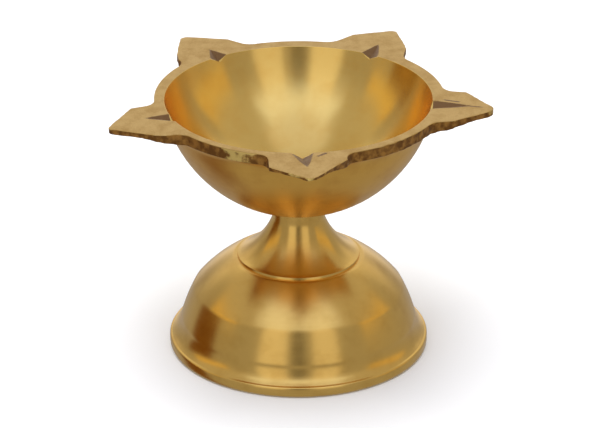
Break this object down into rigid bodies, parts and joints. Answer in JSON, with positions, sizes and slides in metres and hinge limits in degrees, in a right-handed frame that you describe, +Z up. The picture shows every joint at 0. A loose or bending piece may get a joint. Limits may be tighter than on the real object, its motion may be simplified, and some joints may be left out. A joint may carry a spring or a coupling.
{
  "type": "diya oil lamp",
  "caption": "Footed brass oil lamp: a round turned bowl whose flat rim runs out into pointed wick spouts, screwed onto a hollow bell foot.",
  "frame": {"origin": "on the lamp's axis, in the plane that the foot stands on", "axes": "+Z up along the lamp's axis; the first spout points to -Y, turned 3.5 degrees towards +X; +X to the right of it"},
  "size_m": [0.0991, 0.0971, 0.0703],
  "materials": {
    "bowl_brass": "turned inside and out, sanded flat on the rim, as cast on the rim's edge",
    "stud_brass": "cut thread",
    "pedestal_brass": "turned and polished outside, as cast inside"
  },
  "bodies": {
    "pedestal": {"pedestal": "pedestal_brass"},
    "stud": {"threaded_stud": "stud_brass"},
    "bowl": {"bowl": "bowl_brass"}
  },
  "joints": [
    {"name": "bowl_lift", "type": "slide", "parent": "pedestal", "child": "stud", "axis": [0, 0, 1], "range_m": [0, 0.0075]},
    {"name": "bowl_turn", "type": "hinge", "parent": "stud", "child": "bowl", "pos_m": [0, 0, 0.0403], "axis": [0, 0, 1], "range_deg": [0, 2160]}
  ],
  "couplings": [
    {"joint": "bowl_lift", "follows": "bowl_turn", "m_per_rad": 0.00019894}
  ]
}
